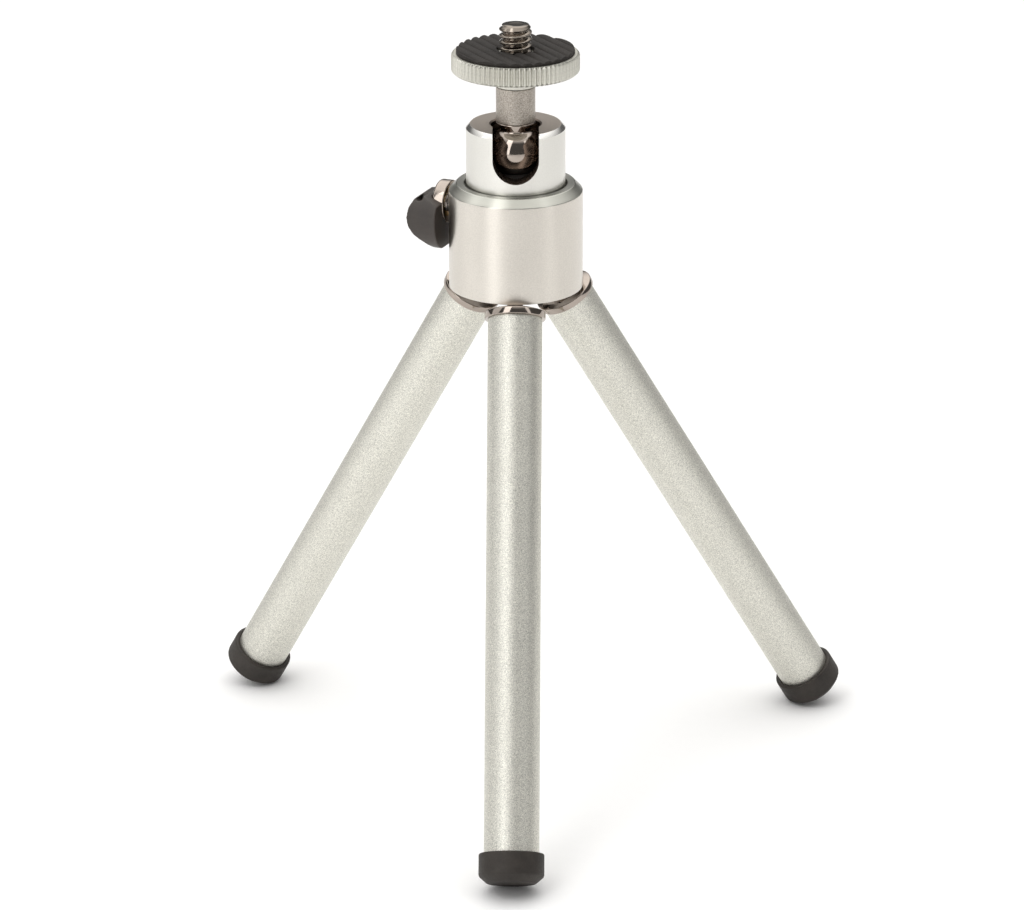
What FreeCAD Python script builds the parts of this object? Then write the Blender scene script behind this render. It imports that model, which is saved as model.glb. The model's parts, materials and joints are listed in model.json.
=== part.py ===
import FreeCAD, Part

import math
import os

# Mini table tripod with a ball head: three folding tube legs, a round housing that holds the clamp,
# a slotted socket collar, a ball on a short stem, and a knurled camera disc with a 1/4 inch screw.
# Millimetres, +Z up. The origin is on the tripod's upright axis, at the level the feet stand on.
# The stem drops into its slot towards -Y, and the front leg points the same way.

Vector = FreeCAD.Vector
X_AXIS = Vector(1, 0, 0)
Y_AXIS = Vector(0, 1, 0)
Z_AXIS = Vector(0, 0, 1)
ORIGIN = Vector(0, 0, 0)
RUNNING_GAP = 0.05              # radial play of a piece that turns or slides on another
FACE_GAP = 0.15                 # play between the flat faces of two moving bodies
EDGE_BREAK = 0.2                # small chamfer that takes the sharpness off a machined edge

# Legs
LEG_TILT = 31.4                 # spread of each leg from upright, in degrees
LEG_AZIMUTHS = {"front": -90.9, "right": 24.0, "left": 144.8}
TUBE_R = 5.25
TUBE_BORE_R = 4.4
PIVOT_RADIUS = 7.35             # distance of each hinge pin from the tripod's axis
PIVOT_Z = 2.1                   # height of the hinge pins above the housing's bottom face
COLLAR_TOP = 5.4                # from the pin down the leg to the top of the end collar
COLLAR_R = 5.9
COLLAR_HEIGHT = 1.3
COLLAR_DOME = 0.45              # rise of the collar's top from its rim to its middle
COLLAR_DOME_R = 4.7
PLUG_LENGTH = 11.0              # the fitting's plug inside the tube
TONGUE_HALF_WIDTH = 2.6
TONGUE_THICKNESS = 3.0
SLOT_SIDE_PLAY = 0.1            # between a tongue and each wall of its slot in the hub
SLOT_END_PLAY = 0.35            # between a tongue's round end and the slot
PIN_R = 1.0
PIN_LENGTH = 9.0
CAP_TOP = 110.1                 # from the pin down the leg to the foot cap's upper rim
CAP_LENGTH = 5.7
CAP_R = 6.22
CAP_CHAMFER_R = 1.6
CAP_CHAMFER_H = 1.4
CAP_FLOOR = 2.4
CAP_LIP = 0.3

# Housing
HOUSING_R = 13.0
HOUSING_HEIGHT = 20.8
HOUSING_CHAMFER = 1.5
HOUSING_HOLE_R = 10.0
HOUSING_BORE_R = 11.3           # bore that holds the collar's flange
HUB_BORE_R = 12.0               # wider bore that takes the leg hub
HUB_TOP = 8.0
HUB_RECESS = 0.4                # the hub sits this far inside the housing's bottom edge
HUB_GUIDE_TOP = 10.4            # top of the hub's guide for the plunger
HUB_GUIDE_R = 6.0
HUB_GUIDE_FLOOR = 7.6
LIP_THICKNESS = 1.5
WASHER_THICKNESS = 0.3

# Socket collar and the ball inside it
SOCKET_R = 9.6
SOCKET_TOP = 32.6
SOCKET_CHAMFER = 0.8
FLANGE_R = 11.0
FLANGE_THICKNESS = 1.3
OPENING_R = 4.8                 # mouth above the ball, narrower than the ball
OPENING_BREAK = 0.3
SLOT_WIDTH = 8.9
SLOT_CENTRE = 27.5
BALL_Z = 27.1
BALL_R = 5.2
NECK_R = 2.9
CONE_SINK = 0.2                 # the neck's cone starts this far inside the ball
CONE_TOP = 33.1
BALL_STUD_R = 2.4
BALL_STUD_TOP = 36.0

# Stem, camera screw, disc and pad
STEM_R = 3.8
STEM_TOP = 40.1
SCREW_R = 3.16                  # crest radius of the 1/4 inch, 20 threads per inch, camera screw
SCREW_SHANK_R = 2.9             # plain shank that runs through the disc and into the stem
SCREW_BOTTOM = 36.2
SCREW_SHOULDER = 47.7
SCREW_TOP = 52.2
SCREW_CHAMFER = 0.55
DISC_HUB_TOP = 43.0
DISC_R = 12.35
DISC_TOP = 46.7
DISC_EDGE = 0.35
PAD_R = 11.4
PAD_HOLE_R = 3.6
PAD_THICKNESS = 0.85

# Clamp: a screw with a conical tip wedges the plunger up under the ball's seat
CLAMP_AZIMUTH = 157.0
CLAMP_Z = 15.3
CLAMP_SCREW_R = 2.0
CLAMP_TIP_FLAT = 0.5
PLUNGER_DROP = 0.525            # how far the plunger can sink once the clamp screw backs out
HEAD_R = 4.2                    # round plated head that the grip is moulded on
HEAD_START = 13.6               # distances from the tripod's axis, along the clamp screw
HEAD_END = 15.8
HEAD_RIM = 0.4
BUSH_R = 3.0
BUSH_START = 11.4
BUSH_SINK = 0.1                 # the bush ends this far inside the housing's round face
SPINDLE_R = 1.5                 # end of the clamp screw that the grip is moulded round
SPINDLE_END = 18.8
GRIP_R = 6.1
GRIP_Z = 12.5
GRIP_SIDE = 1.9                 # the lever hangs down and a little to the -Y side of its screw
GRIP_START = 13.7
PLUNGER_R = 3.4
PLUNGER_GROOVE_R = 1.4          # radius left at the bottom of the vee groove
PLUNGER_BOTTOM = 8.6
PLUNGER_HEAD_BOTTOM = 18.4
SEAT_BOTTOM = 20.0
SEAT_TOP = 23.3
SEAT_PIN_R = 1.5
SEAT_PIN_LENGTH = 1.2
SET_SCREW_R = 0.75
SET_SCREW_START = 17.9          # distance of the set screw from the tripod's axis
SET_SCREW_END = 3.2             # distance of its outer end from the spindle's axis
SET_SCREW_AIM = Vector(0, 0.95, 0.31)


def floor_to_housing():
    """Height of the housing's bottom face when the feet touch the origin's level."""
    tilt = math.radians(LEG_TILT)
    foot_drop = (CAP_TOP + CAP_LENGTH) * math.cos(tilt)
    edge_drop = (CAP_R - CAP_CHAMFER_R) * math.sin(tilt)
    return foot_drop + edge_drop - PIVOT_Z


BASE_Z = floor_to_housing()


def turned(profile):
    """Solid of revolution about Z from a closed outline of (radius, height) points."""
    points = [Vector(radius, 0, height) for radius, height in profile]
    wire = Part.makePolygon(points + [points[0]])
    return Part.Face(wire).revolve(ORIGIN, Z_AXIS, 360)


def ring(outer, inner, low, high):
    return turned([(inner, low), (outer, low), (outer, high), (inner, high)])


def rod(radius, low, high):
    return Part.makeCylinder(radius, high - low, Vector(0, 0, low), Z_AXIS)


def radial_rod(radius, start, end, height):
    """Rod along +X, to be turned to the clamp's azimuth."""
    return Part.makeCylinder(radius, end - start, Vector(start, 0, height), X_AXIS)


def radial_cone(radius_start, radius_end, start, end, height):
    return Part.makeCone(radius_start, radius_end, end - start, Vector(start, 0, height), X_AXIS)


def centred_box(length, width, height, low_corner_x, low_z):
    return Part.makeBox(length, width, height, Vector(low_corner_x, -width / 2, low_z))


# Housing, hub and what they hold

def housing_sleeve():
    lip_low = HOUSING_HEIGHT - LIP_THICKNESS
    body = turned([
        (HUB_BORE_R, 0),
        (HOUSING_R - EDGE_BREAK, 0),
        (HOUSING_R, EDGE_BREAK),
        (HOUSING_R, HOUSING_HEIGHT - HOUSING_CHAMFER),
        (HOUSING_R - HOUSING_CHAMFER, HOUSING_HEIGHT),
        (HOUSING_HOLE_R, HOUSING_HEIGHT),
        (HOUSING_HOLE_R, lip_low),
        (HOUSING_BORE_R, lip_low),
        (HOUSING_BORE_R, HUB_TOP),
        (HUB_BORE_R, HUB_TOP),
    ])
    bush_hole = radial_rod(BUSH_R, HOUSING_HOLE_R, HOUSING_R + 1, CLAMP_Z)
    return body.cut(bush_hole.rotate(ORIGIN, Z_AXIS, CLAMP_AZIMUTH))


def pan_washer():
    lip_low = HOUSING_HEIGHT - LIP_THICKNESS
    return ring(HOUSING_BORE_R - RUNNING_GAP, HOUSING_HOLE_R, lip_low - WASHER_THICKNESS, lip_low)


def leg_slot():
    """Space in the hub for one leg's tongue, along +X, over the whole of its swing."""
    width = TONGUE_THICKNESS + 2 * SLOT_SIDE_PLAY
    inner_end = PIVOT_RADIUS - TONGUE_HALF_WIDTH - SLOT_END_PLAY
    top = PIVOT_Z + TONGUE_HALF_WIDTH + SLOT_END_PLAY
    return centred_box(HUB_BORE_R + 1 - inner_end, width, top + 1, inner_end, -1)


def pin_along_y():
    return Part.makeCylinder(PIN_R, PIN_LENGTH, Vector(PIVOT_RADIUS, -PIN_LENGTH / 2, PIVOT_Z), Y_AXIS)


def leg_hub():
    hub = rod(HUB_BORE_R, HUB_RECESS, HUB_TOP).fuse(rod(HUB_GUIDE_R, HUB_TOP, HUB_GUIDE_TOP))
    hub = hub.cut(rod(PLUNGER_R + RUNNING_GAP, HUB_GUIDE_FLOOR, HUB_GUIDE_TOP))
    for azimuth in LEG_AZIMUTHS.values():
        hub = hub.cut(leg_slot().rotate(ORIGIN, Z_AXIS, azimuth))
        hub = hub.cut(pin_along_y().rotate(ORIGIN, Z_AXIS, azimuth))
    return hub.removeSplitter()


def hinge_pin(azimuth):
    return pin_along_y().rotate(ORIGIN, Z_AXIS, azimuth)


# Ball and socket

def socket_collar():
    flange_top = HOUSING_HEIGHT - LIP_THICKNESS - WASHER_THICKNESS - FACE_GAP
    flange_low = flange_top - FLANGE_THICKNESS
    bore = BALL_R + RUNNING_GAP
    body = turned([
        (bore, flange_low),
        (FLANGE_R, flange_low),
        (FLANGE_R, flange_top),
        (SOCKET_R, flange_top),
        (SOCKET_R, SOCKET_TOP - SOCKET_CHAMFER),
        (SOCKET_R - SOCKET_CHAMFER, SOCKET_TOP),
        (OPENING_R + OPENING_BREAK, SOCKET_TOP),
        (OPENING_R, SOCKET_TOP - OPENING_BREAK),
        (OPENING_R, BALL_Z),
        (bore, BALL_Z),
    ])
    body = body.cut(Part.makeSphere(bore, Vector(0, 0, BALL_Z)))
    half = SLOT_WIDTH / 2
    depth = SOCKET_R + 1
    height = SOCKET_TOP + 1 - SLOT_CENTRE
    upper = Part.makeBox(SLOT_WIDTH, depth, height, Vector(-half, -depth, SLOT_CENTRE))
    lower = Part.makeCylinder(half, depth, Vector(0, -depth, SLOT_CENTRE), Y_AXIS)
    return body.cut(upper).cut(lower)


def pivot_ball():
    ball = Part.makeSphere(BALL_R, Vector(0, 0, BALL_Z))
    cone_low = BALL_Z + math.sqrt(BALL_R ** 2 - NECK_R ** 2) - CONE_SINK
    cone = Part.makeCone(NECK_R, STEM_R, CONE_TOP - cone_low, Vector(0, 0, cone_low), Z_AXIS)
    return ball.fuse(cone).fuse(rod(BALL_STUD_R, CONE_TOP, BALL_STUD_TOP)).removeSplitter()


def ball_seat():
    cup = rod(BALL_R, SEAT_BOTTOM, SEAT_TOP)
    cup = cup.cut(Part.makeSphere(BALL_R + RUNNING_GAP, Vector(0, 0, BALL_Z)))
    return cup.cut(rod(SEAT_PIN_R, SEAT_BOTTOM, SEAT_TOP))


def clamp_plunger():
    """Turned plunger with the vee groove that the clamp screw's cone pushes up."""
    flat = CLAMP_TIP_FLAT + RUNNING_GAP
    mouth = flat + PLUNGER_R - PLUNGER_GROOVE_R
    return turned([
        (0, PLUNGER_BOTTOM),
        (PLUNGER_R, PLUNGER_BOTTOM),
        (PLUNGER_R, CLAMP_Z - mouth - PLUNGER_DROP),
        (PLUNGER_GROOVE_R, CLAMP_Z - flat - PLUNGER_DROP),
        (PLUNGER_GROOVE_R, CLAMP_Z + flat),
        (PLUNGER_R, CLAMP_Z + mouth),
        (PLUNGER_R, PLUNGER_HEAD_BOTTOM),
        (BALL_R, PLUNGER_HEAD_BOTTOM),
        (BALL_R, SEAT_BOTTOM),
        (SEAT_PIN_R, SEAT_BOTTOM),
        (SEAT_PIN_R, SEAT_BOTTOM + SEAT_PIN_LENGTH),
        (0, SEAT_BOTTOM + SEAT_PIN_LENGTH),
    ])


# Stem, screw, disc and pad

def stem_sleeve():
    low = CONE_TOP + RUNNING_GAP
    stud_room = BALL_STUD_R + RUNNING_GAP
    return turned([
        (stud_room, low),
        (STEM_R, low),
        (STEM_R, STEM_TOP),
        (SCREW_SHANK_R, STEM_TOP),
        (SCREW_SHANK_R, SCREW_BOTTOM),
        (stud_room, SCREW_BOTTOM),
    ])


def camera_screw():
    return turned([
        (0, SCREW_BOTTOM),
        (SCREW_SHANK_R, SCREW_BOTTOM),
        (SCREW_SHANK_R, SCREW_SHOULDER),
        (SCREW_R, SCREW_SHOULDER),
        (SCREW_R, SCREW_TOP - SCREW_CHAMFER),
        (SCREW_R - SCREW_CHAMFER, SCREW_TOP),
        (0, SCREW_TOP),
    ])


def knurled_disc():
    bore = SCREW_SHANK_R + RUNNING_GAP
    return turned([
        (bore, STEM_TOP + RUNNING_GAP),
        (STEM_R, STEM_TOP + RUNNING_GAP),
        (STEM_R, DISC_HUB_TOP),
        (DISC_R - DISC_EDGE, DISC_HUB_TOP),
        (DISC_R, DISC_HUB_TOP + DISC_EDGE),
        (DISC_R, DISC_TOP - DISC_EDGE),
        (DISC_R - DISC_EDGE, DISC_TOP),
        (bore, DISC_TOP),
    ])


def rubber_pad():
    return ring(PAD_R, PAD_HOLE_R, DISC_TOP, DISC_TOP + PAD_THICKNESS)


# Clamp screw and its grip, modelled along +X and turned to the clamp's azimuth

def clamp_bush():
    sleeve = radial_rod(BUSH_R, BUSH_START, HOUSING_R, CLAMP_Z)
    bore = radial_rod(CLAMP_SCREW_R + RUNNING_GAP, BUSH_START - 1, HOUSING_R + 1, CLAMP_Z)
    inside = rod(HOUSING_R - BUSH_SINK, 0, HOUSING_HEIGHT)
    return sleeve.cut(bore).common(inside).rotate(ORIGIN, Z_AXIS, CLAMP_AZIMUTH)


def clamp_screw():
    tip_start = PLUNGER_GROOVE_R + RUNNING_GAP
    tip_length = CLAMP_SCREW_R - CLAMP_TIP_FLAT
    tip = radial_cone(CLAMP_TIP_FLAT, CLAMP_SCREW_R, tip_start, tip_start + tip_length, CLAMP_Z)
    shank = radial_rod(CLAMP_SCREW_R, tip_start + tip_length, HEAD_END + HEAD_RIM, CLAMP_Z)
    spindle = radial_rod(SPINDLE_R, HEAD_END, SPINDLE_END, CLAMP_Z)
    return tip.fuse(shank).fuse(spindle).removeSplitter().rotate(ORIGIN, Z_AXIS, CLAMP_AZIMUTH)


def grip_outline():
    """Side view of the grip: (distance from the tripod's axis, height) points."""
    return [
        (GRIP_START, 6.8),
        (15.4, 6.8),
        (16.8, 8.4),
        (18.5, 10.0),
        (19.4, 11.6),
        (19.8, 13.4),
        (19.6, 15.4),
        (18.8, 17.0),
        (17.0, 17.4),
        (GRIP_START, 15.9),
    ]


def head_blank():
    """The plated round head before it is bored."""
    head = radial_rod(HEAD_R, HEAD_START, HEAD_END, CLAMP_Z)
    rim = radial_cone(HEAD_R, HEAD_R - HEAD_RIM, HEAD_END, HEAD_END + HEAD_RIM, CLAMP_Z)
    return head.fuse(rim)


def grip_body():
    points = [Vector(radius, GRIP_SIDE - GRIP_R - 1, height) for radius, height in grip_outline()]
    face = Part.Face(Part.makePolygon(points + [points[0]]))
    block = face.extrude(Vector(0, 2 * GRIP_R + 2, 0))
    barrel = radial_rod(GRIP_R, GRIP_START - 1, SPINDLE_END + 4, GRIP_Z)
    barrel.translate(Vector(0, GRIP_SIDE, 0))
    spindle_hole = radial_rod(SPINDLE_R, GRIP_START - 1, SPINDLE_END, CLAMP_Z)
    return block.common(barrel).cut(spindle_hole)


def set_screw_shape(start, end):
    """Rod from the grip's near upper side towards the spindle."""
    centre = Vector(SET_SCREW_START, 0, CLAMP_Z)
    return Part.makeCylinder(SET_SCREW_R, end - start, centre + SET_SCREW_AIM * start, SET_SCREW_AIM)


def clamp_grip():
    body = grip_body().cut(head_blank()).cut(set_screw_shape(SPINDLE_R, GRIP_R + 2))
    return body.removeSplitter().rotate(ORIGIN, Z_AXIS, CLAMP_AZIMUTH)


def clamp_head():
    """Round head, pressed on the clamp screw that passes through it."""
    bore = radial_rod(CLAMP_SCREW_R, HEAD_START - 1, HEAD_END + 1, CLAMP_Z)
    return head_blank().cut(bore).removeSplitter().rotate(ORIGIN, Z_AXIS, CLAMP_AZIMUTH)


def grip_set_screw():
    screw = set_screw_shape(SPINDLE_R + RUNNING_GAP, SET_SCREW_END)
    return screw.rotate(ORIGIN, Z_AXIS, CLAMP_AZIMUTH)


# One leg, hanging straight down from its hinge pin at the origin

def place_leg(shape, azimuth):
    shape = shape.rotate(ORIGIN, Y_AXIS, -LEG_TILT)
    shape.translate(Vector(PIVOT_RADIUS, 0, PIVOT_Z))
    return shape.rotate(ORIGIN, Z_AXIS, azimuth)


def leg_fitting(azimuth):
    collar_low = -COLLAR_TOP - COLLAR_HEIGHT
    body = turned([
        (0, collar_low - PLUG_LENGTH),
        (TUBE_BORE_R, collar_low - PLUG_LENGTH),
        (TUBE_BORE_R, collar_low),
        (COLLAR_R, collar_low),
        (COLLAR_R, -COLLAR_TOP),
        (COLLAR_DOME_R, -COLLAR_TOP + COLLAR_DOME),
        (0, -COLLAR_TOP + COLLAR_DOME),
    ])
    half = TONGUE_THICKNESS / 2
    eye = Part.makeCylinder(TONGUE_HALF_WIDTH, TONGUE_THICKNESS, Vector(0, -half, 0), Y_AXIS)
    width = 2 * TONGUE_HALF_WIDTH
    blade = centred_box(width, TONGUE_THICKNESS, COLLAR_TOP, -TONGUE_HALF_WIDTH, -COLLAR_TOP)
    bore_start = Vector(0, -TONGUE_THICKNESS, 0)
    bore = Part.makeCylinder(PIN_R + RUNNING_GAP, 2 * TONGUE_THICKNESS, bore_start, Y_AXIS)
    return place_leg(body.fuse(eye).fuse(blade).cut(bore).removeSplitter(), azimuth)


def leg_tube(azimuth):
    top = -COLLAR_TOP - COLLAR_HEIGHT
    bottom = -CAP_TOP - CAP_LENGTH + CAP_FLOOR
    return place_leg(ring(TUBE_R, TUBE_BORE_R, bottom, top), azimuth)


def foot_cap(azimuth):
    top = -CAP_TOP
    bottom = top - CAP_LENGTH
    cap = turned([
        (0, bottom),
        (CAP_R - CAP_CHAMFER_R, bottom),
        (CAP_R, bottom + CAP_CHAMFER_H),
        (CAP_R, top - CAP_LIP),
        (CAP_R - CAP_LIP, top),
        (TUBE_R, top),
        (TUBE_R, bottom + CAP_FLOOR),
        (0, bottom + CAP_FLOOR),
    ])
    return place_leg(cap, azimuth)


def build():
    pieces = {
        "housing_sleeve": housing_sleeve(),
        "leg_hub": leg_hub(),
        "pan_washer": pan_washer(),
        "clamp_bush": clamp_bush(),
        "socket_collar": socket_collar(),
        "pivot_ball": pivot_ball(),
        "ball_seat": ball_seat(),
        "clamp_plunger": clamp_plunger(),
        "stem_sleeve": stem_sleeve(),
        "camera_screw": camera_screw(),
        "knurled_disc": knurled_disc(),
        "rubber_pad": rubber_pad(),
        "clamp_screw": clamp_screw(),
        "clamp_head": clamp_head(),
        "clamp_grip": clamp_grip(),
        "grip_set_screw": grip_set_screw(),
    }
    for name, azimuth in LEG_AZIMUTHS.items():
        pieces["hinge_pin_" + name] = hinge_pin(azimuth)
        pieces["leg_fitting_" + name] = leg_fitting(azimuth)
        pieces["leg_tube_" + name] = leg_tube(azimuth)
        pieces["foot_cap_" + name] = foot_cap(azimuth)
    return pieces


os.makedirs("parts", exist_ok=True)
for node, shape in build().items():
    shape.translate(Vector(0, 0, BASE_Z))
    if len(shape.Solids) != 1 or not shape.isValid():
        raise RuntimeError(node + " is not one valid solid")
    shape.exportStep("parts/" + node + ".step")
print("housing bottom face at", round(BASE_Z, 3), "and overall height", round(BASE_Z + SCREW_TOP, 3))
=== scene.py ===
import json
import math

import bmesh
import bpy
from mathutils import Matrix, Vector


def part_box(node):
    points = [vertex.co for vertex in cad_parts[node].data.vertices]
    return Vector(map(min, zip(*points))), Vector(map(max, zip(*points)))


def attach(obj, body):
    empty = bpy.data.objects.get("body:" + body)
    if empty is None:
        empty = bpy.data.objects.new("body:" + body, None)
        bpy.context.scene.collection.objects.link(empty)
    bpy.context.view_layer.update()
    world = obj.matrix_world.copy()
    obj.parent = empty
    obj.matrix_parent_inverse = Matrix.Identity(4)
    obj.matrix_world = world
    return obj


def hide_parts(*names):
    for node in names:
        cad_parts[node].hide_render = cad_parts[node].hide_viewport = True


# Looks of the mini table tripod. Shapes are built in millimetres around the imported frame, whose
# boxes and joints give most places and sizes. The rest are named beside the piece they belong to.
# Each mesh is turned into metres as it is made.

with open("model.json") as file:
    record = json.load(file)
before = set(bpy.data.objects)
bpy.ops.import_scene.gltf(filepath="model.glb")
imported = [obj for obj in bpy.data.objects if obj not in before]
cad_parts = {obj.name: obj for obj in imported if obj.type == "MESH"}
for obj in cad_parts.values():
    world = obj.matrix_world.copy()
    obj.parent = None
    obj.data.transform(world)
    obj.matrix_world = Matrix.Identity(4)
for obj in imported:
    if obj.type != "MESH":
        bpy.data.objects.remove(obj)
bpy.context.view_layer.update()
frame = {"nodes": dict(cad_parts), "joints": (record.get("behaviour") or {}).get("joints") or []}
MM = 0.001
TURN = 2 * math.pi
JOINTS = {joint["name"]: joint for joint in frame["joints"]}
LEGS = ("front", "right", "left")


# ---------------------------------------------------------------- frame helpers

def box_mm(node):
    low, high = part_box(node)
    return low / MM, high / MM


def low_z(node):
    return box_mm(node)[0].z


def high_z(node):
    return box_mm(node)[1].z


def radius(node):
    """Outer radius of an upright round node, in millimetres."""
    low, high = box_mm(node)
    return (high.x - low.x) / 2


BASE_Z = low_z("housing_sleeve")
RUNNING_GAP = 0.05


# ---------------------------------------------------------------- mesh helpers

def rounded(profile, size, steps=3):
    """The closed outline with each corner off the axis replaced by a small arc-like curve."""
    result = []
    for index, corner in enumerate(profile):
        before = Vector(profile[index - 1])
        after = Vector(profile[(index + 1) % len(profile)])
        point = Vector(corner)
        if abs(point.x) < 1e-6:
            result.append(tuple(point))
            continue
        reach_in = min(size, (before - point).length * 0.45)
        reach_out = min(size, (after - point).length * 0.45)
        start = point + (before - point).normalized() * reach_in
        end = point + (after - point).normalized() * reach_out
        for step in range(steps + 1):
            t = step / steps
            result.append(tuple(start * (1 - t) ** 2 + point * 2 * t * (1 - t) + end * t ** 2))
    return result


def arc_points(reach, centre, start, end, steps):
    """Points (across, height) on an arc about (0, centre), with its angles in radians."""
    angles = [start + (end - start) * step / steps for step in range(steps + 1)]
    return [(reach * math.cos(angle), centre + reach * math.sin(angle)) for angle in angles]


def join_rings(mesh_data, low, high):
    """Faces between two rings of points. A ring of one point is the tip of a fan."""
    count = max(len(low), len(high))
    if count == 1:
        return
    for index in range(count):
        following = (index + 1) % count
        if len(low) == 1:
            mesh_data.faces.new((low[0], high[following], high[index]))
        elif len(high) == 1:
            mesh_data.faces.new((low[index], low[following], high[0]))
        else:
            mesh_data.faces.new((low[index], low[following], high[following], high[index]))


def join_all_rings(mesh_data, rings):
    """Closes the mesh through every ring in turn and back to the first."""
    for low, high in zip(rings, rings[1:] + rings[:1]):
        join_rings(mesh_data, low, high)
    bmesh.ops.recalc_face_normals(mesh_data, faces=mesh_data.faces)


def shade_smooth(piece):
    for polygon in piece.data.polygons:
        polygon.use_smooth = True


def piece_from(name, mesh_data):
    mesh = bpy.data.meshes.new(name)
    mesh_data.to_mesh(mesh)
    mesh_data.free()
    piece = bpy.data.objects.new(name, mesh)
    shade_smooth(piece)
    bpy.context.scene.collection.objects.link(piece)
    return piece


def lathe(name, profile, segments=128, wave=None):
    """Closed mesh turned about Z from (radius, height) points. wave(radius, height, angle) may
    change the radius as it goes round."""
    mesh_data = bmesh.new()
    rings = []
    for ring_radius, height in profile:
        if ring_radius < 1e-6:
            rings.append([mesh_data.verts.new((0, 0, height * MM))])
            continue
        ring = []
        for index in range(segments):
            angle = TURN * index / segments
            reach = wave(ring_radius, height, angle) if wave else ring_radius
            ring.append(mesh_data.verts.new(
                (reach * math.cos(angle) * MM, reach * math.sin(angle) * MM, height * MM)))
        rings.append(ring)
    join_all_rings(mesh_data, rings)
    return piece_from(name, mesh_data)


def block(name, corners):
    """Convex solid through the given corner points, in millimetres."""
    mesh_data = bmesh.new()
    for corner in corners:
        mesh_data.verts.new(Vector(corner) * MM)
    bmesh.ops.convex_hull(mesh_data, input=mesh_data.verts)
    return piece_from(name, mesh_data)


def apply_modifiers(piece):
    """Writes what the modifiers show into the mesh, and takes them off."""
    graph = bpy.context.evaluated_depsgraph_get()
    graph.update()
    mesh = bpy.data.meshes.new_from_object(piece.evaluated_get(graph))
    piece.modifiers.clear()
    piece.data = mesh


def boolean(piece, other, operation):
    modifier = piece.modifiers.new("boolean", "BOOLEAN")
    modifier.operation = operation
    modifier.solver = "EXACT"
    modifier.object = other
    apply_modifiers(piece)
    bpy.data.objects.remove(other)


def bevel(piece, width, segments=3, angle=35):
    """Rounds each edge that turns by more than the angle, in degrees."""
    modifier = piece.modifiers.new("bevel", "BEVEL")
    modifier.width = width * MM
    modifier.segments = segments
    modifier.limit_method = "ANGLE"
    modifier.angle_limit = math.radians(angle)
    modifier.use_clamp_overlap = True
    apply_modifiers(piece)


def even_shading(piece):
    """Keeps broad faces flat and lets only the narrow rounded edges turn the shading."""
    shade_smooth(piece)
    modifier = piece.modifiers.new("weighted_normals", "WEIGHTED_NORMAL")
    modifier.weight = 80
    modifier.keep_sharp = False


def finish_piece(piece, body, materials, replaced):
    for material in materials:
        piece.data.materials.append(material)
    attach(piece, body)
    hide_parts(*replaced)
    return piece


# ---------------------------------------------------------------- materials

NOISE_LOW = 0.3
NOISE_HIGH = 0.7
TURNED_LINES = 2600
TURNED_DEPTH = 0.006
PLATED_DEPTH = 0.0015


def new_material(name):
    material = bpy.data.materials.new(name)
    material.use_nodes = True
    tree = material.node_tree
    shader = tree.nodes["Principled BSDF"]
    return material, tree, shader


def new_metal(name):
    material, tree, shader = new_material(name)
    shader.inputs["Metallic"].default_value = 1.0
    return material, tree, shader


def add_noise(tree, scale, detail, stretch=(1, 1, 1)):
    """Noise in the object's own coordinates. scale is in cycles per metre."""
    place = tree.nodes.new("ShaderNodeTexCoord")
    mapping = tree.nodes.new("ShaderNodeMapping")
    mapping.inputs["Scale"].default_value = stretch
    noise = tree.nodes.new("ShaderNodeTexNoise")
    noise.inputs["Scale"].default_value = scale
    noise.inputs["Detail"].default_value = detail
    noise.inputs["Roughness"].default_value = 0.6
    tree.links.new(place.outputs["Object"], mapping.inputs["Vector"])
    tree.links.new(mapping.outputs["Vector"], noise.inputs["Vector"])
    return noise.outputs["Fac"]


def add_turned_noise(tree):
    """Noise that depends only on height and on distance from the axis, so it runs in rings."""
    place = tree.nodes.new("ShaderNodeTexCoord")
    split = tree.nodes.new("ShaderNodeSeparateXYZ")
    flat = tree.nodes.new("ShaderNodeCombineXYZ")
    length = tree.nodes.new("ShaderNodeVectorMath")
    length.operation = "LENGTH"
    line = tree.nodes.new("ShaderNodeCombineXYZ")
    noise = tree.nodes.new("ShaderNodeTexNoise")
    noise.inputs["Scale"].default_value = TURNED_LINES
    noise.inputs["Detail"].default_value = 3.0
    tree.links.new(place.outputs["Object"], split.inputs["Vector"])
    tree.links.new(split.outputs["X"], flat.inputs["X"])
    tree.links.new(split.outputs["Y"], flat.inputs["Y"])
    tree.links.new(flat.outputs["Vector"], length.inputs[0])
    tree.links.new(length.outputs["Value"], line.inputs["X"])
    tree.links.new(split.outputs["Z"], line.inputs["Y"])
    tree.links.new(line.outputs["Vector"], noise.inputs["Vector"])
    return noise.outputs["Fac"]


def add_range(tree, value, low, high, to_low, to_high):
    node = tree.nodes.new("ShaderNodeMapRange")
    node.inputs["From Min"].default_value = low
    node.inputs["From Max"].default_value = high
    node.inputs["To Min"].default_value = to_low
    node.inputs["To Max"].default_value = to_high
    tree.links.new(value, node.inputs["Value"])
    return node.outputs["Result"]


def vary_colour(tree, shader, value, darker, lighter):
    """Lets a noise value move the base colour between two colours."""
    node = tree.nodes.new("ShaderNodeValToRGB")
    stops = [(NOISE_LOW, darker), (NOISE_HIGH, lighter)]
    for element, (place, colour) in zip(node.color_ramp.elements, stops):
        element.position = place
        element.color = (*colour, 1)
    tree.links.new(value, node.inputs["Fac"])
    tree.links.new(node.outputs["Color"], shader.inputs["Base Color"])


def vary_roughness(tree, shader, value, smoothest, roughest, low=NOISE_LOW, high=NOISE_HIGH):
    """Lets a noise value move the roughness between two limits."""
    result = add_range(tree, value, low, high, smoothest, roughest)
    tree.links.new(result, shader.inputs["Roughness"])


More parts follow.
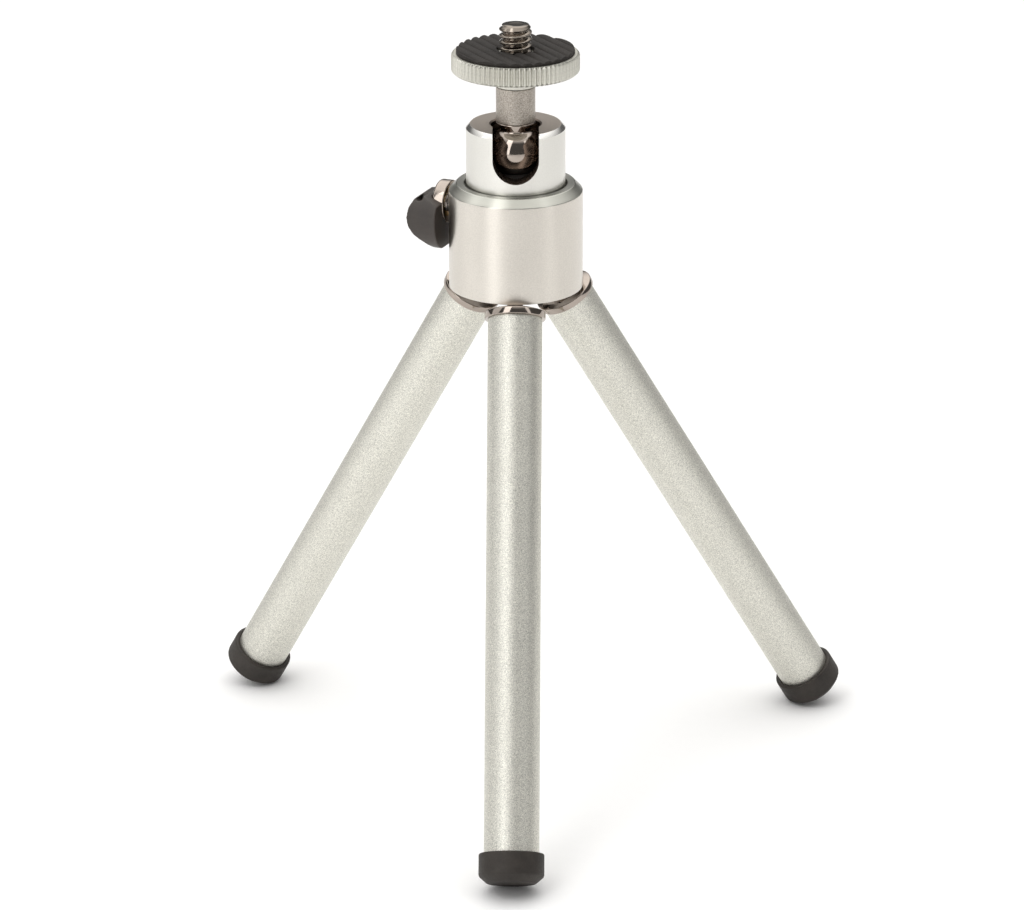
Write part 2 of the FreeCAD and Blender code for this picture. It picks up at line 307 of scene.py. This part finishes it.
def add_bump(tree, shader, height, distance):
    """Relief of the given depth, in millimetres."""
    node = tree.nodes.new("ShaderNodeBump")
    node.inputs["Distance"].default_value = distance * MM
    node.inputs["Strength"].default_value = 1.0
    tree.links.new(height, node.inputs["Height"])
    tree.links.new(node.outputs["Normal"], shader.inputs["Normal"])


def scaled(colour, factor):
    return tuple(min(1.0, channel * factor) for channel in colour)


def stretch_glints(tree, shader, amount):
    """Fine marks left by turning the piece about Z, which draw its glints out along the axis."""
    if not amount:
        return
    tangent = tree.nodes.new("ShaderNodeTangent")
    tangent.direction_type = "RADIAL"
    tangent.axis = "Z"
    shader.inputs["Anisotropic"].default_value = amount
    shader.inputs["Anisotropic Rotation"].default_value = 0.25
    tree.links.new(tangent.outputs["Tangent"], shader.inputs["Tangent"])


def blasted_metal(name, colour, rough, grain, depth, spread, turning=0.0):
    """Bead-blasted and anodised aluminium: fine sparkle in colour, roughness and bump."""
    material, tree, shader = new_metal(name)
    fine = add_noise(tree, grain, 2.0)
    broad = add_noise(tree, 60, 3.0)
    vary_colour(tree, shader, fine, scaled(colour, 1 - spread), scaled(colour, 1 + spread))
    vary_roughness(tree, shader, broad, rough - 0.03, rough + 0.04)
    add_bump(tree, shader, fine, depth)
    stretch_glints(tree, shader, turning)
    return material


def turned_metal(name, colour, rough, turning=0.0):
    """Lathe-turned metal with fine concentric lines."""
    material, tree, shader = new_metal(name)
    lines = add_turned_noise(tree)
    vary_colour(tree, shader, lines, scaled(colour, 0.88), scaled(colour, 1.06))
    vary_roughness(tree, shader, lines, rough - 0.05, rough + 0.08)
    add_bump(tree, shader, lines, TURNED_DEPTH)
    stretch_glints(tree, shader, turning)
    return material


def plated_metal(name, colour, rough):
    """Polished nickel plate with faint handling marks."""
    material, tree, shader = new_metal(name)
    marks = add_noise(tree, 260, 5.0, stretch=(1, 1, 3))
    fine = add_noise(tree, 2400, 2.0)
    vary_colour(tree, shader, marks, scaled(colour, 0.9), scaled(colour, 1.08))
    vary_roughness(tree, shader, marks, rough, rough + 0.07, low=0.35, high=0.65)
    add_bump(tree, shader, fine, PLATED_DEPTH)
    return material


def moulded_plastic(name, colour, rough):
    """Dark moulded plastic with a fine spark-eroded grain and worn, lighter patches."""
    material, tree, shader = new_material(name)
    shader.inputs["Specular IOR Level"].default_value = 0.45
    grain = add_noise(tree, 3600, 3.0)
    patches = add_noise(tree, 180, 4.0)
    vary_colour(tree, shader, patches, scaled(colour, 0.8), scaled(colour, 1.35))
    vary_roughness(tree, shader, patches, rough - 0.06, rough + 0.08)
    add_bump(tree, shader, grain, 0.02)
    return material


def moulded_rubber(name, colour, rough):
    """Near-black rubber: matt, with a soft mottle and fine pores."""
    material, tree, shader = new_material(name)
    shader.inputs["Specular IOR Level"].default_value = 0.35
    pores = add_noise(tree, 2600, 4.0)
    mottle = add_noise(tree, 220, 4.0)
    vary_colour(tree, shader, mottle, scaled(colour, 0.75), scaled(colour, 1.4))
    vary_roughness(tree, shader, pores, rough - 0.08, rough + 0.08)
    add_bump(tree, shader, pores, 0.03)
    return material


def nylon_plastic(name, colour):
    """Smooth black nylon with a faint mottle."""
    material, tree, shader = new_material(name)
    mottle = add_noise(tree, 400, 4.0)
    vary_colour(tree, shader, mottle, scaled(colour, 0.92), scaled(colour, 1.05))
    vary_roughness(tree, shader, mottle, 0.38, 0.52)
    add_bump(tree, shader, mottle, 0.02)
    return material


HOUSING_SATIN = blasted_metal(
    "housing_satin", (0.67, 0.635, 0.58), 0.32, grain=4600, depth=0.006, spread=0.07, turning=0.7)
HOUSING_TURNED = turned_metal("housing_turned", (0.52, 0.52, 0.47), 0.28, turning=0.85)
COLLAR_SATIN = blasted_metal(
    "collar_satin", (0.70, 0.69, 0.65), 0.33, grain=4200, depth=0.004, spread=0.03)
COLLAR_TOP = turned_metal("collar_top", (0.42, 0.37, 0.325), 0.36)
# Darker copy of the collar's metal: painted shade inside its bore and on its slot walls.
COLLAR_INSIDE_PAINTED_SHADE = turned_metal("collar_inside_painted_shade", (0.24, 0.195, 0.165), 0.26)
# Lighter, glossier copy of the collar's metal: painted highlight on its outer chamfer.
COLLAR_EDGE_PAINTED_HIGHLIGHT = turned_metal("collar_edge_painted_highlight", (0.80, 0.79, 0.76), 0.20, turning=0.5)
STEM_BLASTED = blasted_metal(
    "stem_blasted", (0.38, 0.345, 0.305), 0.38, grain=4200, depth=0.035, spread=0.4)
DISC_SILVER = turned_metal("disc_silver", (0.62, 0.61, 0.55), 0.42)
LEG_SATIN = blasted_metal(
    "leg_satin", (0.68, 0.67, 0.61), 0.46, grain=5600, depth=0.05, spread=0.4)
NICKEL = plated_metal("nickel", (0.38, 0.33, 0.29), 0.05)
SCREW_PLATED = plated_metal("screw_plated", (0.27, 0.235, 0.20), 0.07)
PIN_STEEL = turned_metal("pin_steel", (0.55, 0.55, 0.55), 0.28)
BRASS = turned_metal("plunger_brass", (0.72, 0.55, 0.28), 0.28)
HUB_METAL = turned_metal("hub_metal", (0.58, 0.58, 0.57), 0.34)
NYLON = nylon_plastic("nylon", (0.03, 0.027, 0.025))
BLACK_OXIDE = turned_metal("black_oxide", (0.10, 0.095, 0.09), 0.35)
GRIP_PLASTIC = moulded_plastic("grip_plastic", (0.040, 0.032, 0.027), 0.42)
RUBBER = moulded_rubber("rubber", (0.030, 0.025, 0.021), 0.60)
# Darker copy of the rubber: painted shade on the pad, whose ribbed top faces the bright ceiling.
PAD_RUBBER_PAINTED_SHADE = moulded_rubber("pad_rubber_painted_shade", (0.020, 0.0165, 0.014), 0.70)


# ---------------------------------------------------------------- camera, floor and lights

FOCAL_MM = 166.4
SENSOR_MM = 36.0
CAMERA_SHIFT = (0.0027, 0.0010)
CAMERA_PLACE = Vector((0.0, -877.3, BASE_Z + 286.1)) * MM
CAMERA_PITCH = 20.14
CAMERA_YAW = 0.09
CAMERA_ROLL = -0.13
FLOOR_HALF = 4.0
PAPER_DARKER = (0.95, 0.95, 0.95)
PAPER_LIGHTER = (0.96, 0.96, 0.96)
ROOM_COLOUR = (1.0, 0.99, 0.975, 1)
ROOM_LIGHT = 0.13
CEILING_LIGHT = 1.85
CEILING_AIM = (0, 0.26, 0.966)
CEILING_EDGE = 0.5
CEILING_FULL = 0.85
LIGHT_TARGET = Vector((0, 0, 0.10))


def add_camera():
    data = bpy.data.cameras.new("camera")
    data.lens = FOCAL_MM
    data.sensor_width = SENSOR_MM
    data.shift_x, data.shift_y = CAMERA_SHIFT
    data.clip_start = 0.05
    data.clip_end = 20
    camera = bpy.data.objects.new("camera", data)
    bpy.context.scene.collection.objects.link(camera)
    aim = Matrix.Rotation(math.radians(CAMERA_YAW), 4, "Z")
    aim = aim @ Matrix.Rotation(math.radians(90 - CAMERA_PITCH), 4, "X")
    aim = aim @ Matrix.Rotation(math.radians(CAMERA_ROLL), 4, "Z")
    camera.matrix_world = Matrix.Translation(CAMERA_PLACE) @ aim
    bpy.context.scene.camera = camera


def add_floor():
    """White paper under the tripod."""
    material, tree, shader = new_material("paper")
    shader.inputs["Roughness"].default_value = 0.9
    shader.inputs["Specular IOR Level"].default_value = 0.1
    fibre = add_noise(tree, 300, 4.0)
    vary_colour(tree, shader, fibre, PAPER_DARKER, PAPER_LIGHTER)
    mesh_data = bmesh.new()
    bmesh.ops.create_grid(mesh_data, x_segments=8, y_segments=8, size=FLOOR_HALF)
    floor = piece_from("floor", mesh_data)
    floor.data.materials.append(material)


def add_area(name, place, width, height, power):
    """Soft box that faces the tripod. Sizes are in metres, power in watts."""
    data = bpy.data.lights.new(name, "AREA")
    data.shape = "RECTANGLE"
    data.size = width
    data.size_y = height
    data.energy = power
    light = bpy.data.objects.new(name, data)
    bpy.context.scene.collection.objects.link(light)
    light.location = place
    light.rotation_mode = "QUATERNION"
    light.rotation_quaternion = (LIGHT_TARGET - Vector(place)).to_track_quat("-Z", "Y")


def add_world():
    """A dim room with a wide bright ceiling that leans a little towards the back."""
    world = bpy.data.worlds.new("studio")
    bpy.context.scene.world = world
    world.use_nodes = True
    tree = world.node_tree
    background = tree.nodes["Background"]
    background.inputs["Color"].default_value = ROOM_COLOUR
    place = tree.nodes.new("ShaderNodeTexCoord")
    height = tree.nodes.new("ShaderNodeVectorMath")
    height.operation = "DOT_PRODUCT"
    height.inputs[1].default_value = CEILING_AIM
    tree.links.new(place.outputs["Generated"], height.inputs[0])
    strength = add_range(
        tree, height.outputs["Value"], CEILING_EDGE, CEILING_FULL, ROOM_LIGHT, CEILING_LIGHT)
    tree.links.new(strength, background.inputs["Strength"])


def add_lights():
    add_area("key_left", (-0.50, -0.65, 0.58), 0.38, 1.15, 3.4)
    add_area("fill_left", (-1.00, -0.10, 0.55), 0.60, 0.90, 1.6)
    add_area("strip_right", (0.85, -0.50, 0.55), 0.22, 1.00, 0.9)


# ---------------------------------------------------------------- housing and socket

HUB_SEAT_HEIGHT = 8.0
WASHER_COVER = 1.25
HOUSING_CHAMFER = 1.5
BUSH_HOLE_R = 3.0
COLLAR_FLANGE = 1.3
COLLAR_OUTER_R = 9.6
COLLAR_OPENING_R = 4.8
COLLAR_CHAMFER = 0.8
COLLAR_ROUND = 0.22
OPENING_CHAMFER = 0.3
SEAT_ANGLE = 24.5
SLOT_HALF = 4.45
SLOT_CENTRE_HEIGHT = 27.5


def clamp_matrix():
    """Turns a piece modelled along +Z so that it lies on the clamp's axis, pointing outwards."""
    joint = JOINTS["clamp_turn"]
    outward = Vector(joint["axis"]).to_track_quat("Z", "X").to_matrix().to_4x4()
    return Matrix.Translation(Vector((0, 0, joint["pos_m"][2]))) @ outward


def build_housing():
    outer = radius("housing_sleeve")
    top = high_z("housing_sleeve")
    lip_low = high_z("pan_washer")
    hub_top = BASE_Z + HUB_SEAT_HEIGHT
    hole = radius("pan_washer") - WASHER_COVER
    bore = radius("pan_washer") + RUNNING_GAP
    hub_bore = radius("leg_hub")
    profile = rounded([
        (hub_bore, BASE_Z),
        (outer, BASE_Z),
        (outer, top - HOUSING_CHAMFER),
        (outer - HOUSING_CHAMFER, top),
        (hole, top),
        (hole, lip_low),
        (bore, lip_low),
        (bore, hub_top),
        (hub_bore, hub_top),
    ], 0.14)
    housing = lathe("housing_shell", profile, 160)
    drill = lathe("bush_drill", [
        (0, hole), (BUSH_HOLE_R, hole), (BUSH_HOLE_R, outer + 1), (0, outer + 1),
    ], 64)
    drill.data.transform(clamp_matrix())
    boolean(housing, drill, "DIFFERENCE")
    bevel(housing, 0.08, 2, 50)
    housing.data.materials.clear()
    edge = (top - HOUSING_CHAMFER - 0.05) * MM
    for polygon in housing.data.polygons:
        if polygon.center.z > edge:
            polygon.material_index = 1
    even_shading(housing)
    finish_piece(
        housing, "housing", [HOUSING_SATIN, HOUSING_TURNED], ["housing_sleeve"])


def colour_collar(collar, top):
    """Gives the top face a turned surface of its own, paints a highlight onto the outer chamfer
    with a lighter copy of the collar's metal, and paints shade into the bore and slot walls with a
    darker copy.
    """
    collar.data.materials.clear()
    for polygon in collar.data.polygons:
        from_axis = math.hypot(polygon.center.x, polygon.center.y) / MM
        height = polygon.center.z / MM
        if height > top - 0.1:
            polygon.material_index = 1
        # Outer chamfer: painted highlight.
        elif height > top - COLLAR_CHAMFER and from_axis > COLLAR_OUTER_R - COLLAR_CHAMFER:
            polygon.material_index = 2
        # Bore and slot walls: painted shade.
        elif from_axis < COLLAR_OUTER_R - COLLAR_ROUND - 0.02:
            polygon.material_index = 3


def build_collar():
    low, high = box_mm("socket_collar")
    ball_r = radius("pivot_ball")
    ball_z = low_z("pivot_ball") + ball_r
    flange_r = high.x
    flange_top = low.z + COLLAR_FLANGE
    bore = ball_r + RUNNING_GAP
    top = high.z
    seat = arc_points(bore, ball_z, 0, math.radians(SEAT_ANGLE), 6)
    profile = [
        (bore, low.z),
        (flange_r, low.z),
        (flange_r, flange_top),
        (COLLAR_OUTER_R, flange_top),
        (COLLAR_OUTER_R, top - COLLAR_CHAMFER),
        (COLLAR_OUTER_R - COLLAR_CHAMFER, top),
        (COLLAR_OPENING_R + OPENING_CHAMFER, top),
        (COLLAR_OPENING_R, top - OPENING_CHAMFER),
    ] + seat[::-1]
    collar = lathe("socket_shell", profile, 160)
    depth = COLLAR_OUTER_R + 2
    rim = arc_points(SLOT_HALF, BASE_Z + SLOT_CENTRE_HEIGHT, math.pi, TURN, 32)
    rim += [(SLOT_HALF, top + 2), (-SLOT_HALF, top + 2)]
    cutter = block("slot_cutter", [(x, y, z) for x, z in rim for y in (-depth, 0)])
    boolean(collar, cutter, "DIFFERENCE")
    bevel(collar, COLLAR_ROUND)
    colour_collar(collar, top)
    even_shading(collar)
    finish_piece(
        collar, "collar", [COLLAR_SATIN, COLLAR_TOP, COLLAR_EDGE_PAINTED_HIGHLIGHT, COLLAR_INSIDE_PAINTED_SHADE],
        ["socket_collar"])


# ---------------------------------------------------------------- ball and stem

NECK_R = 2.9
STUD_R = 2.4
STUD_BORE_R = 2.45
SCREW_BORE_R = 2.95


def build_ball():
    low, high = box_mm("pivot_ball")
    ball_r = radius("pivot_ball")
    neck_angle = math.acos(NECK_R / ball_r)
    sphere = arc_points(ball_r, low.z + ball_r, -math.pi / 2, neck_angle, 28)
    sphere[0] = (0, low.z)
    cone_top = low_z("stem_sleeve") - RUNNING_GAP
    stem_r = radius("stem_sleeve")
    profile = sphere + [
        (NECK_R, sphere[-1][1] + 0.15),
        (stem_r, cone_top - 0.25),
        (stem_r, cone_top),
        (STUD_R, cone_top),
        (STUD_R, high.z),
        (0, high.z),
    ]
    ball = lathe("ball_and_neck", profile, 128)
    even_shading(ball)
    finish_piece(ball, "ball", [NICKEL], ["pivot_ball"])


def build_stem():
    low, high = box_mm("stem_sleeve")
    outer = radius("stem_sleeve")
    screw_low = low_z("camera_screw")
    profile = rounded([
        (STUD_BORE_R, low.z),
        (outer, low.z),
        (outer, high.z),
        (SCREW_BORE_R, high.z),
        (SCREW_BORE_R, screw_low),
        (STUD_BORE_R, screw_low),
    ], 0.18)
    stem = lathe("stem_shell", profile, 96)
    even_shading(stem)
    finish_piece(stem, "stem", [STEM_BLASTED], ["stem_sleeve"])


# ---------------------------------------------------------------- disc, pad and screw

DISC_UNDERSIDE = 43.0
DISC_EDGE = 0.35
KNURL_TEETH = 75
KNURL_DEPTH = 0.5
PAD_HOLE_R = 3.6
PAD_WEB = 0.3
RIB_PITCH = 2.1
RIB_AZIMUTH = -62.0
SCREW_SHANK_R = 2.9
SCREW_TIP_R = 1.6
SCREW_CHAMFER = 0.75
THREAD_PITCH = 1.27
THREAD_DEPTH = 0.62
THREAD_LEVEL = 0.06


def build_disc():
    low, high = box_mm("knurled_disc")
    outer = radius("knurled_disc")
    hub_r = radius("stem_sleeve")
    under = BASE_Z + DISC_UNDERSIDE
    face_r = outer - DISC_EDGE - 0.05

    def knurl(ring_radius, height, angle):
        if ring_radius < outer - DISC_EDGE - 0.02:
            return ring_radius
        share = 0.5 - 0.5 * math.cos(KNURL_TEETH * angle)
        return ring_radius - KNURL_DEPTH * share ** 0.8

    profile = rounded([
        (SCREW_BORE_R, low.z),
        (hub_r, low.z),
        (hub_r, under),
        (face_r, under),
        (outer, under + DISC_EDGE),
        (outer, high.z - DISC_EDGE),
        (face_r, high.z),
        (SCREW_BORE_R, high.z),
    ], 0.1, steps=2)
    disc = lathe("knurled_rim_disc", profile, KNURL_TEETH * 8, knurl)
    even_shading(disc)
    finish_piece(disc, "disc", [DISC_SILVER], ["knurled_disc"])


def build_pad():
    """Ring of rubber whose top is moulded in straight, parallel ribs."""
    low, high = box_mm("rubber_pad")
    outer = radius("rubber_pad")
    azimuth = math.radians(RIB_AZIMUTH)
    across = Vector((-math.sin(azimuth), math.cos(azimuth)))
    valley = low.z + PAD_WEB
    segments, steps = 288, 70
    mesh_data = bmesh.new()

    def rib_height(x, y):
        phase = (x * across.x + y * across.y) / RIB_PITCH
        crown = abs(math.sin(math.pi * phase)) ** 0.55
        return valley + (high.z - valley) * crown

    def add_ring(ring_radius, height):
        ring = []
        for index in range(segments):
            angle = TURN * index / segments
            x, y = ring_radius * math.cos(angle), ring_radius * math.sin(angle)
            ring.append(mesh_data.verts.new(Vector((x, y, height(x, y))) * MM))
        return ring

    rings = []
    for step in range(steps + 1):
        drop = 0.08 if step in (0, steps) else 0
        ring_radius = PAD_HOLE_R + (outer - PAD_HOLE_R) * step / steps
        rings.append(add_ring(ring_radius, lambda x, y: rib_height(x, y) - drop))
    for ring_radius in (outer, PAD_HOLE_R):
        rings.append(add_ring(ring_radius, lambda x, y: low.z))
    join_all_rings(mesh_data, rings)
    pad = piece_from("ribbed_pad", mesh_data)
    # The pad takes the darker rubber copy, as painted shade.
    finish_piece(pad, "disc", [PAD_RUBBER_PAINTED_SHADE], ["rubber_pad"])


def build_screw():
    low, high = box_mm("camera_screw")
    crest = radius("camera_screw")
    thread_start = high_z("knurled_disc") + 0.1
    chamfer_start = high.z - SCREW_CHAMFER

    def thread(ring_radius, height, angle):
        if ring_radius < 0.1 or height < thread_start:
            return ring_radius
        phase = (height / THREAD_PITCH - angle / TURN) % 1.0
        groove = max(0.0, 1.0 - abs(phase - 0.5) / 0.4)
        reach = ring_radius - THREAD_DEPTH * min(1.0, groove * 1.1)
        if height > chamfer_start:
            return min(reach, crest - (height - chamfer_start) * 0.8)
        return reach

    threaded = high.z - thread_start
    levels = int(threaded / THREAD_LEVEL)
    profile = [(0, low.z), (SCREW_SHANK_R, low.z), (SCREW_SHANK_R, thread_start - 0.01)]
    profile += [(crest, thread_start + threaded * level / levels) for level in range(levels + 1)]
    profile += [(SCREW_TIP_R, high.z), (0, high.z - 0.12)]
    screw = lathe("camera_thread", profile, 96, thread)
    finish_piece(screw, "stem", [SCREW_PLATED], ["camera_screw"])


# ---------------------------------------------------------------- legs

# Heights along a leg are measured down from its hinge pin.
LEG_TILT = 31.4
TUBE_R = 5.25
TUBE_BORE_R = 4.4
RING_R = 5.9
RING_TOP = 5.4
RING_LOW = 6.7
RING_CROWN = 0.45
RING_CROWN_R = 4.7
PLUG_LENGTH = 11.0
TONGUE_R = 2.6
TONGUE_HALF = 1.5
TONGUE_ROOT = 0.2
CAP_R = 6.22
CAP_TOP = 110.1
CAP_LENGTH = 5.7
CAP_FLOOR = 2.4
CAP_CHAMFER_R = 1.6
CAP_CHAMFER_H = 1.4


def leg_matrix(name):
    """Places a leg that was modelled hanging straight down from its pin at the origin."""
    joint = JOINTS["leg_fold_" + name]
    along_pin = Vector(joint["axis"])
    up = Vector((0, 0, 1))
    turn = Matrix((along_pin.cross(up), along_pin, up)).transposed().to_4x4()
    lean = Matrix.Rotation(-math.radians(LEG_TILT), 4, "Y")
    return Matrix.Translation(Vector(joint["pos_m"])) @ turn @ lean


def leg_fitting(name):
    """Plated end ring with a plug inside the tube and a hinge tongue above."""
    plug_end = -RING_LOW - PLUG_LENGTH
    fitting = lathe("end_ring_" + name, rounded([
        (0, plug_end),
        (TUBE_BORE_R, plug_end),
        (TUBE_BORE_R, -RING_LOW),
        (RING_R, -RING_LOW),
        (RING_R, -RING_TOP),
        (RING_CROWN_R, -RING_TOP + RING_CROWN),
        (0, -RING_TOP + RING_CROWN),
    ], 0.16), 96)
    root = -RING_TOP - TONGUE_ROOT
    tongue = arc_points(TONGUE_R, 0, 0, math.pi, 16) + [(-TONGUE_R, root), (TONGUE_R, root)]
    sides = (-TONGUE_HALF, TONGUE_HALF)
    blade = block("tongue_" + name, [(x, y, z) for x, z in tongue for y in sides])
    boolean(fitting, blade, "UNION")
    bevel(fitting, 0.12, 2, 40)
    return fitting


def build_leg(name):
    body = "leg_" + name
    bottom = -CAP_TOP - CAP_LENGTH
    fitting = leg_fitting(name)
    tube = lathe("tube_" + name, rounded([
        (TUBE_BORE_R, bottom + CAP_FLOOR),
        (TUBE_R, bottom + CAP_FLOOR),
        (TUBE_R, -RING_LOW),
        (TUBE_BORE_R, -RING_LOW),
    ], 0.12), 96)
    cap = lathe("cap_" + name, rounded([
        (0, bottom),
        (CAP_R - CAP_CHAMFER_R, bottom),
        (CAP_R, bottom + CAP_CHAMFER_H),
        (CAP_R, -CAP_TOP),
        (TUBE_R, -CAP_TOP),
        (TUBE_R, bottom + CAP_FLOOR),
        (0, bottom + CAP_FLOOR),
    ], 0.35), 96)
    for piece in (fitting, tube, cap):
        piece.data.transform(leg_matrix(name))
        even_shading(piece)
    finish_piece(fitting, body, [NICKEL], ["leg_fitting_" + name])
    finish_piece(tube, body, [LEG_SATIN], ["leg_tube_" + name])
    finish_piece(cap, body, [RUBBER], ["foot_cap_" + name])


# ---------------------------------------------------------------- clamp grip

# Distances along the clamp's axis are measured from the tripod's own axis.
GRIP_VOXEL = 0.16
GRIP_SMOOTHING = 9
HEAD_BORE_R = 2.05
HEAD_R = 4.2
HEAD_FACE_R = 3.8
HEAD_START = 13.6
HEAD_CHAMFER = 15.8
HEAD_END = 16.2


def copy_of(node, name):
    """A separate mesh with the node's CAD shape, free of its material and its marks."""
    piece = frame["nodes"][node].copy()
    piece.data = frame["nodes"][node].data.copy()
    piece.name = name
    for key in list(piece.keys()):
        del piece[key]
    piece.parent = None
    bpy.context.scene.collection.objects.link(piece)
    piece.data.materials.clear()
    return piece


def build_grip():
    """One soft moulding: the solid is remeshed finely, then smoothed so its edges round over."""
    grip = copy_of("clamp_grip", "moulded_grip")
    remesh = grip.modifiers.new("remesh", "REMESH")
    remesh.mode = "VOXEL"
    remesh.voxel_size = GRIP_VOXEL * MM
    smooth = grip.modifiers.new("smooth", "SMOOTH")
    smooth.factor = 0.5
    smooth.iterations = GRIP_SMOOTHING
    apply_modifiers(grip)
    shade_smooth(grip)
    finish_piece(grip, "clamp", [GRIP_PLASTIC], ["clamp_grip"])


def build_clamp_head():
    profile = rounded([
        (HEAD_BORE_R, HEAD_START),
        (HEAD_R, HEAD_START),
        (HEAD_R, HEAD_CHAMFER),
        (HEAD_FACE_R, HEAD_END),
        (HEAD_BORE_R, HEAD_END),
    ], 0.25, steps=4)
    head = lathe("lever_head", profile, 96)
    head.data.transform(clamp_matrix())
    even_shading(head)
    finish_piece(head, "clamp", [NICKEL], ["clamp_head"])


# ---------------------------------------------------------------- pieces that keep their CAD shape

KEPT = {
    "leg_hub": HUB_METAL,
    "pan_washer": NYLON,
    "clamp_bush": BRASS,
    "ball_seat": NYLON,
    "clamp_plunger": BRASS,
    "clamp_screw": PIN_STEEL,
    "grip_set_screw": BLACK_OXIDE,
    "hinge_pin_front": PIN_STEEL,
    "hinge_pin_right": PIN_STEEL,
    "hinge_pin_left": PIN_STEEL,
}


def dress_kept_nodes():
    for node, material in KEPT.items():
        piece = frame["nodes"][node]
        piece.data.materials.clear()
        piece.data.materials.append(material)


add_camera()
add_floor()
add_world()
add_lights()
build_housing()
build_collar()
build_ball()
build_stem()
build_disc()
build_pad()
build_screw()
for leg in LEGS:
    build_leg(leg)
build_grip()
build_clamp_head()
dress_kept_nodes()

scene = bpy.context.scene
scene.view_settings.view_transform = "Standard"
